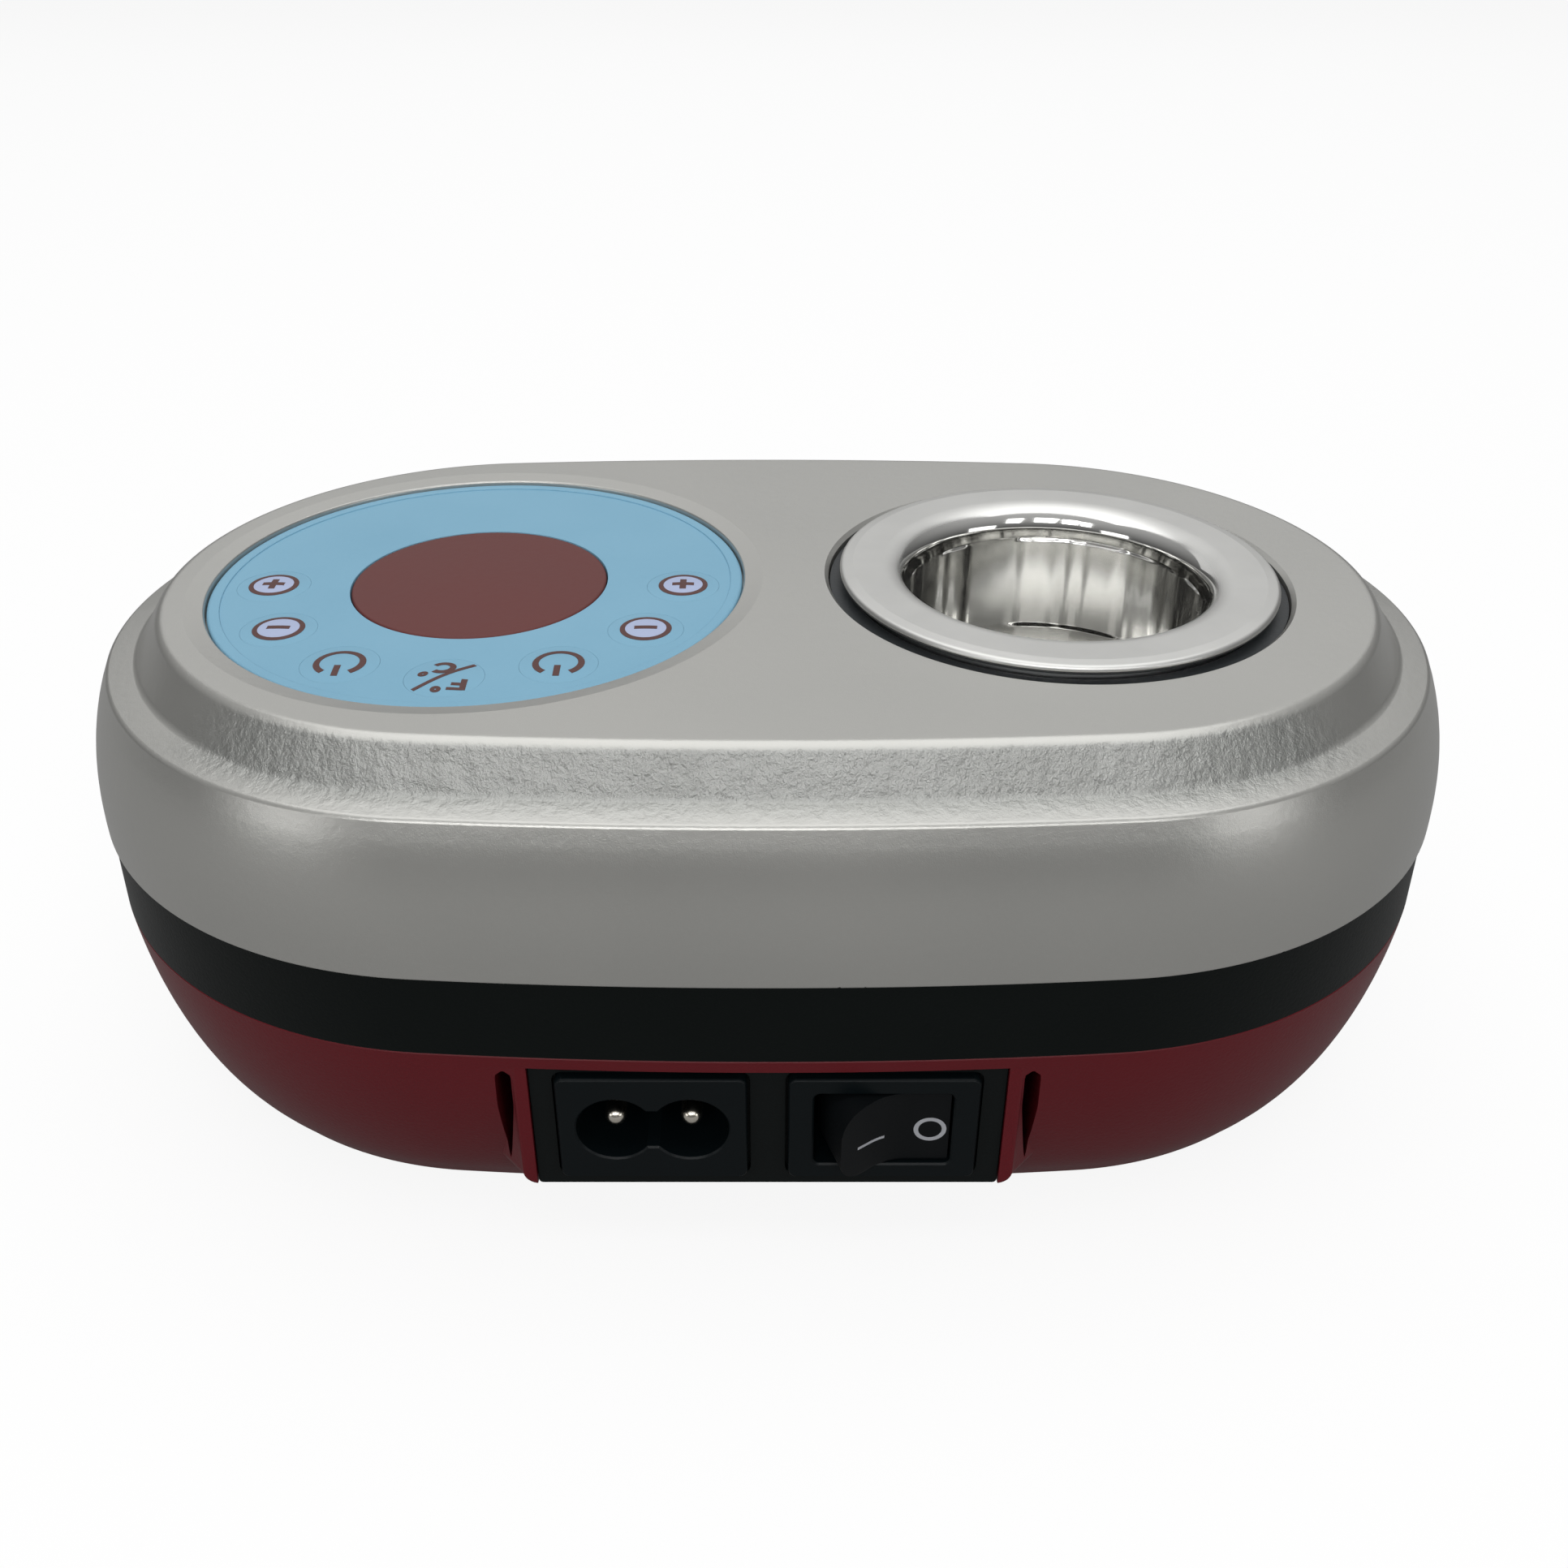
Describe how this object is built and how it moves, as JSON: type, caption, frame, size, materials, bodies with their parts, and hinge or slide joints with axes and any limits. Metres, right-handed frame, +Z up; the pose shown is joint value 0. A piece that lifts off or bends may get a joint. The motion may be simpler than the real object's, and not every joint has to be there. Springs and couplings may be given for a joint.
{
  "type": "dental lab wax heater",
  "caption": "Oval bench wax heater with a round soft keypad, a display window, a lift-out steel pot in a heated well, and a rear mains inlet and rocker switch.",
  "frame": {"origin": "centre of the bounding box at the bottom of the feet; the oval itself is centred 1.7 mm towards +Y, because the rocker stands out on the -Y side", "axes": "+X towards the wax pot, -Y towards the mains inlet and switch, +Z up"},
  "size_m": [0.1694, 0.1072, 0.0633],
  "materials": {
    "silver_paint": "satin, fine grain",
    "black_plastic": "satin",
    "red_plastic": "satin gloss",
    "rubber": "matte",
    "zinc_steel": "plated",
    "label": "printed film, bare",
    "blue_silicone": "soft satin",
    "brown_window": "tinted",
    "dark_plastic": "moulded",
    "circuit_board": "solder mask",
    "polished_steel": "polished",
    "aluminium": "turned",
    "mica": "pressed mica",
    "ceramic_wool": "fibre",
    "tin_plate": "rolled",
    "brass": "turned",
    "wire_cover": "silicone sleeve",
    "brown_wire": "pvc sleeve",
    "cream_plastic": "moulded",
    "ribbon_grey": "pvc",
    "laminated_iron": "stacked sheets",
    "blue_sleeve": "shrink sleeve",
    "blue_plastic": "moulded",
    "glass_tube": "clear",
    "green_plastic": "moulded"
  },
  "bodies": {
    "housing": {"top_shell": "silver_paint", "middle_band": "black_plastic", "bottom_shell": "red_plastic", "base_feet": "rubber", "shell_screws": "zinc_steel", "rating_label": "label", "keypad_membrane": "blue_silicone", "display_lens": "brown_window", "display_module": "dark_plastic", "control_board": "circuit_board", "control_board_screws": "zinc_steel", "control_chip": "dark_plastic", "tact_switches": "dark_plastic", "ribbon_headers": "cream_plastic", "ribbon_cable": "ribbon_grey", "well_collar": "dark_plastic", "heater_well": "aluminium", "band_heater": "mica", "insulation_ring": "ceramic_wool", "heat_shield": "tin_plate", "shield_screws": "zinc_steel", "temperature_sensor": "brass", "thermal_fuse": "tin_plate", "heater_wires": "wire_cover", "power_board": "circuit_board", "power_board_screws": "zinc_steel", "transformer": "laminated_iron", "filter_capacitor": "blue_sleeve", "power_relay": "blue_plastic", "board_fuse": "glass_tube", "terminal_block": "green_plastic", "heater_triac": "aluminium", "socket_plate": "black_plastic", "inlet_body": "dark_plastic", "inlet_pins": "polished_steel", "switch_housing": "dark_plastic", "switch_terminals": "brass", "mains_wires": "brown_wire"},
    "pot": {"wax_pot": "polished_steel"},
    "power_rocker": {"rocker": "black_plastic"},
    "key_plus_left": {"key_plus_left": "blue_silicone"},
    "key_minus_left": {"key_minus_left": "blue_silicone"},
    "key_power_left": {"key_power_left": "blue_silicone"},
    "key_unit": {"key_unit": "blue_silicone"},
    "key_power_right": {"key_power_right": "blue_silicone"},
    "key_minus_right": {"key_minus_right": "blue_silicone"},
    "key_plus_right": {"key_plus_right": "blue_silicone"}
  },
  "joints": [
    {"name": "pot_lift", "type": "slide", "parent": "housing", "child": "pot", "axis": [0, 0, 1], "range_m": [0, 0.03]},
    {"name": "rocker_swing", "type": "hinge", "parent": "housing", "child": "power_rocker", "pos_m": [0.0129, -0.04788, 0.0177], "axis": [0, 0, -1], "range_deg": [0, 38]},
    {"name": "press_plus_left", "type": "slide", "parent": "housing", "child": "key_plus_left", "axis": [0, 0, -1], "range_m": [0, 0.0005], "stiffness_N_per_m": 400, "springref_m": -0.0005},
    {"name": "press_minus_left", "type": "slide", "parent": "housing", "child": "key_minus_left", "axis": [0, 0, -1], "range_m": [0, 0.0005], "stiffness_N_per_m": 400, "springref_m": -0.0005},
    {"name": "press_power_left", "type": "slide", "parent": "housing", "child": "key_power_left", "axis": [0, 0, -1], "range_m": [0, 0.0005], "stiffness_N_per_m": 400, "springref_m": -0.0005},
    {"name": "press_unit", "type": "slide", "parent": "housing", "child": "key_unit", "axis": [0, 0, -1], "range_m": [0, 0.0005], "stiffness_N_per_m": 400, "springref_m": -0.0005},
    {"name": "press_power_right", "type": "slide", "parent": "housing", "child": "key_power_right", "axis": [0, 0, -1], "range_m": [0, 0.0005], "stiffness_N_per_m": 400, "springref_m": -0.0005},
    {"name": "press_minus_right", "type": "slide", "parent": "housing", "child": "key_minus_right", "axis": [0, 0, -1], "range_m": [0, 0.0005], "stiffness_N_per_m": 400, "springref_m": -0.0005},
    {"name": "press_plus_right", "type": "slide", "parent": "housing", "child": "key_plus_right", "axis": [0, 0, -1], "range_m": [0, 0.0005], "stiffness_N_per_m": 400, "springref_m": -0.0005}
  ]
}
